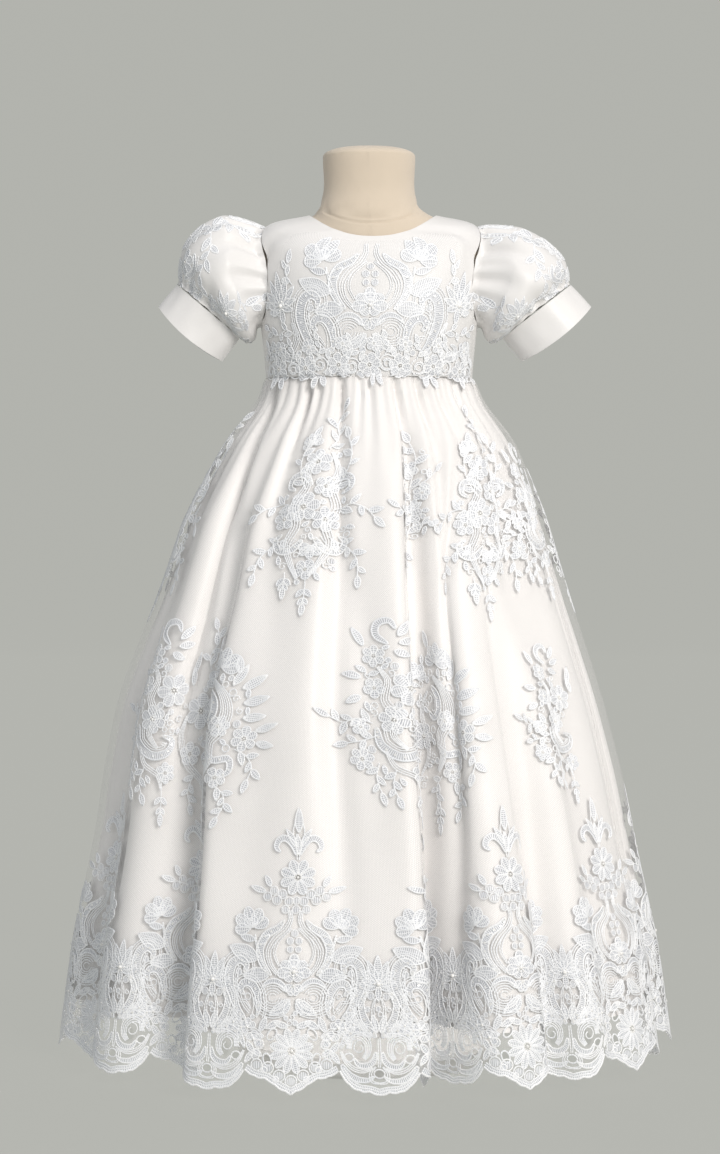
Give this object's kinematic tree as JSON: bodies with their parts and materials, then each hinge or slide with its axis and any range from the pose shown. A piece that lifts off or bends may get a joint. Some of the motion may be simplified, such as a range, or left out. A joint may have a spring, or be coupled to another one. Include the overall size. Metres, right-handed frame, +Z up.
{
  "type": "christening gown on a dress form",
  "caption": "Long christening gown: puffed sleeves, tulle over satin, corded lace and a scalloped hem, worn by a limbless dress form on a round stand.",
  "frame": {"origin": "middle of the stand base's underside, on the floor", "axes": "+Z up, the gown's front faces -Y, +X is on the right of someone looking at the front"},
  "size_m": [0.541, 0.4346, 0.7986],
  "materials": {
    "satin": "satin",
    "tulle": "sheer",
    "lace": "satin",
    "jersey": "matte",
    "stand": "satin",
    "pearl": "gloss"
  },
  "bodies": {
    "root": {"form_body": "jersey", "form_neck": "jersey", "form_neck_cap": "jersey", "stand_pole": "stand", "stand_base": "stand", "bodice_front": "satin", "bodice_back_left": "satin", "bodice_back_right": "satin", "bodice_lace": "lace", "waist_trim": "lace", "sleeve_left": "satin", "sleeve_right": "satin", "cuff_left": "satin", "cuff_right": "satin", "underskirt_front": "satin", "underskirt_back": "satin", "overskirt_front": "tulle", "overskirt_back": "tulle", "button_1": "pearl", "button_2": "pearl", "button_3": "pearl", "button_4": "pearl", "button_5": "pearl"}
  },
  "joints": []
}
